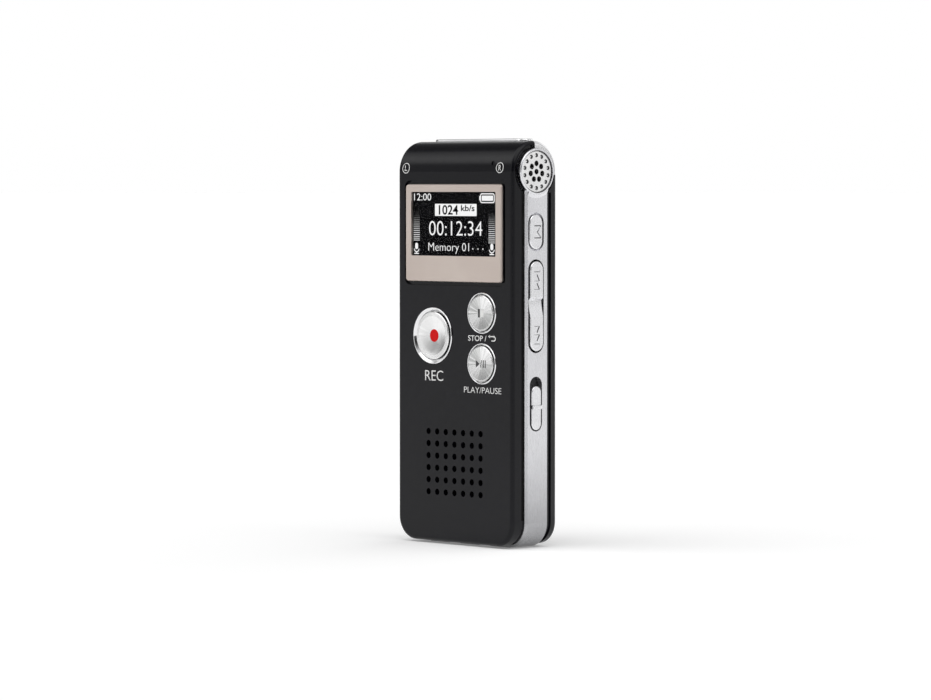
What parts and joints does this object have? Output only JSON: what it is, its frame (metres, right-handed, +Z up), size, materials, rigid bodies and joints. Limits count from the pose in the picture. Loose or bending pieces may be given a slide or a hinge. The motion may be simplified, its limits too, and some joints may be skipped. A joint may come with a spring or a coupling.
{
  "type": "handheld voice recorder",
  "caption": "Slim upright voice recorder: black covers on a silver frame, lit display, round front buttons, side rocker and slider, microphones at the rounded top.",
  "frame": {"origin": "middle of the flat base: the underside of the three thin feet, which the recorder stands on", "axes": "+Z up along the recorder's length, -Y out of the front face with the display and buttons, +X out of the side with the menu button, rocker and slider"},
  "size_m": [0.0412, 0.0148, 0.095],
  "materials": {
    "cover_black": "fine satin moulded black",
    "frame_silver": "satin silver plating",
    "cap_silver": "bright silver plating",
    "grille_silver": "pressed satin silver disc",
    "bezel_champagne": "brushed champagne anodised",
    "window_clear": "clear polished acrylic",
    "display_dark": "black glass face of a lit display",
    "ring_chrome": "polished chrome plating",
    "button_metal": "spun metal, radial highlights",
    "side_silver": "satin silver plating",
    "red_enamel": "glossy red enamel",
    "dark_plastic": "black moulded plastic",
    "switch_metal": "tinned sheet steel",
    "board_green": "green solder mask on glass epoxy",
    "chip_black": "black epoxy moulding",
    "connector_cream": "cream moulded plastic",
    "flex_amber": "amber polyimide film",
    "boot_rubber": "soft black rubber",
    "mesh_black": "fine black dust mesh",
    "cell_silver": "foil pouch",
    "foam_grey": "grey foam tape",
    "lead_red": "red insulation",
    "guide_clear": "clear moulded light guide"
  },
  "bodies": {
    "casing": {"front_cover": "cover_black", "back_cover": "cover_black", "mid_frame": "frame_silver", "top_cap": "cap_silver", "mic_grille_right": "grille_silver", "mic_grille_left": "grille_silver", "display_bezel": "bezel_champagne", "display_window": "window_clear", "display_panel": "display_dark", "rec_ring": "ring_chrome", "stop_ring": "ring_chrome", "play_ring": "ring_chrome", "display_holder": "dark_plastic", "headphone_jack": "dark_plastic", "line_in_jack": "dark_plastic", "rec_switch": "dark_plastic", "stop_switch": "dark_plastic", "play_switch": "dark_plastic", "menu_switch": "dark_plastic", "usb_tongue": "dark_plastic", "power_switch": "switch_metal", "seek_switch": "switch_metal", "usb_socket": "switch_metal", "crystal": "switch_metal", "seek_pin": "switch_metal", "case_screws": "switch_metal", "mic_capsule_right": "switch_metal", "mic_capsule_left": "switch_metal", "main_board": "board_green", "processor": "chip_black", "flash_memory": "chip_black", "inductor": "chip_black", "speaker": "chip_black", "display_connector": "connector_cream", "status_led": "connector_cream", "display_flex": "flex_amber", "mic_boot_right": "boot_rubber", "mic_boot_left": "boot_rubber", "speaker_gasket": "boot_rubber", "base_feet": "boot_rubber", "speaker_mesh": "mesh_black", "battery": "cell_silver", "battery_pad": "foam_grey", "battery_leads": "lead_red", "speaker_leads": "lead_red", "light_guide": "guide_clear"},
    "rec_key": {"rec_button": "button_metal", "rec_dot": "red_enamel", "rec_plunger": "dark_plastic"},
    "stop_key": {"stop_button": "button_metal", "stop_plunger": "dark_plastic"},
    "play_key": {"play_button": "button_metal", "play_plunger": "dark_plastic"},
    "menu_key": {"menu_button": "side_silver", "menu_plunger": "dark_plastic"},
    "seek_key": {"seek_rocker": "side_silver", "seek_lever": "dark_plastic"},
    "power_slide": {"power_knob": "side_silver", "power_carrier": "dark_plastic", "power_lever": "dark_plastic"}
  },
  "joints": [
    {"name": "rec_press", "type": "slide", "parent": "casing", "child": "rec_key", "axis": [0, 1, 0], "range_m": [0, 0.00035], "stiffness_N_per_m": 2000},
    {"name": "stop_press", "type": "slide", "parent": "casing", "child": "stop_key", "axis": [0, 1, 0], "range_m": [0, 0.00035], "stiffness_N_per_m": 2000},
    {"name": "play_press", "type": "slide", "parent": "casing", "child": "play_key", "axis": [0, 1, 0], "range_m": [0, 0.00035], "stiffness_N_per_m": 2000},
    {"name": "menu_press", "type": "slide", "parent": "casing", "child": "menu_key", "axis": [-1, 0, 0], "range_m": [0, 0.0003], "stiffness_N_per_m": 2000},
    {"name": "seek_tip", "type": "hinge", "parent": "casing", "child": "seek_key", "pos_m": [0.0176, 0, 0.0562], "axis": [0, 1, 0], "range_deg": [-2.5, 2.5], "stiffness_Nm_per_rad": 0.18},
    {"name": "power_travel", "type": "slide", "parent": "casing", "child": "power_slide", "axis": [0, 0, 1], "range_m": [0, 0.002]}
  ]
}
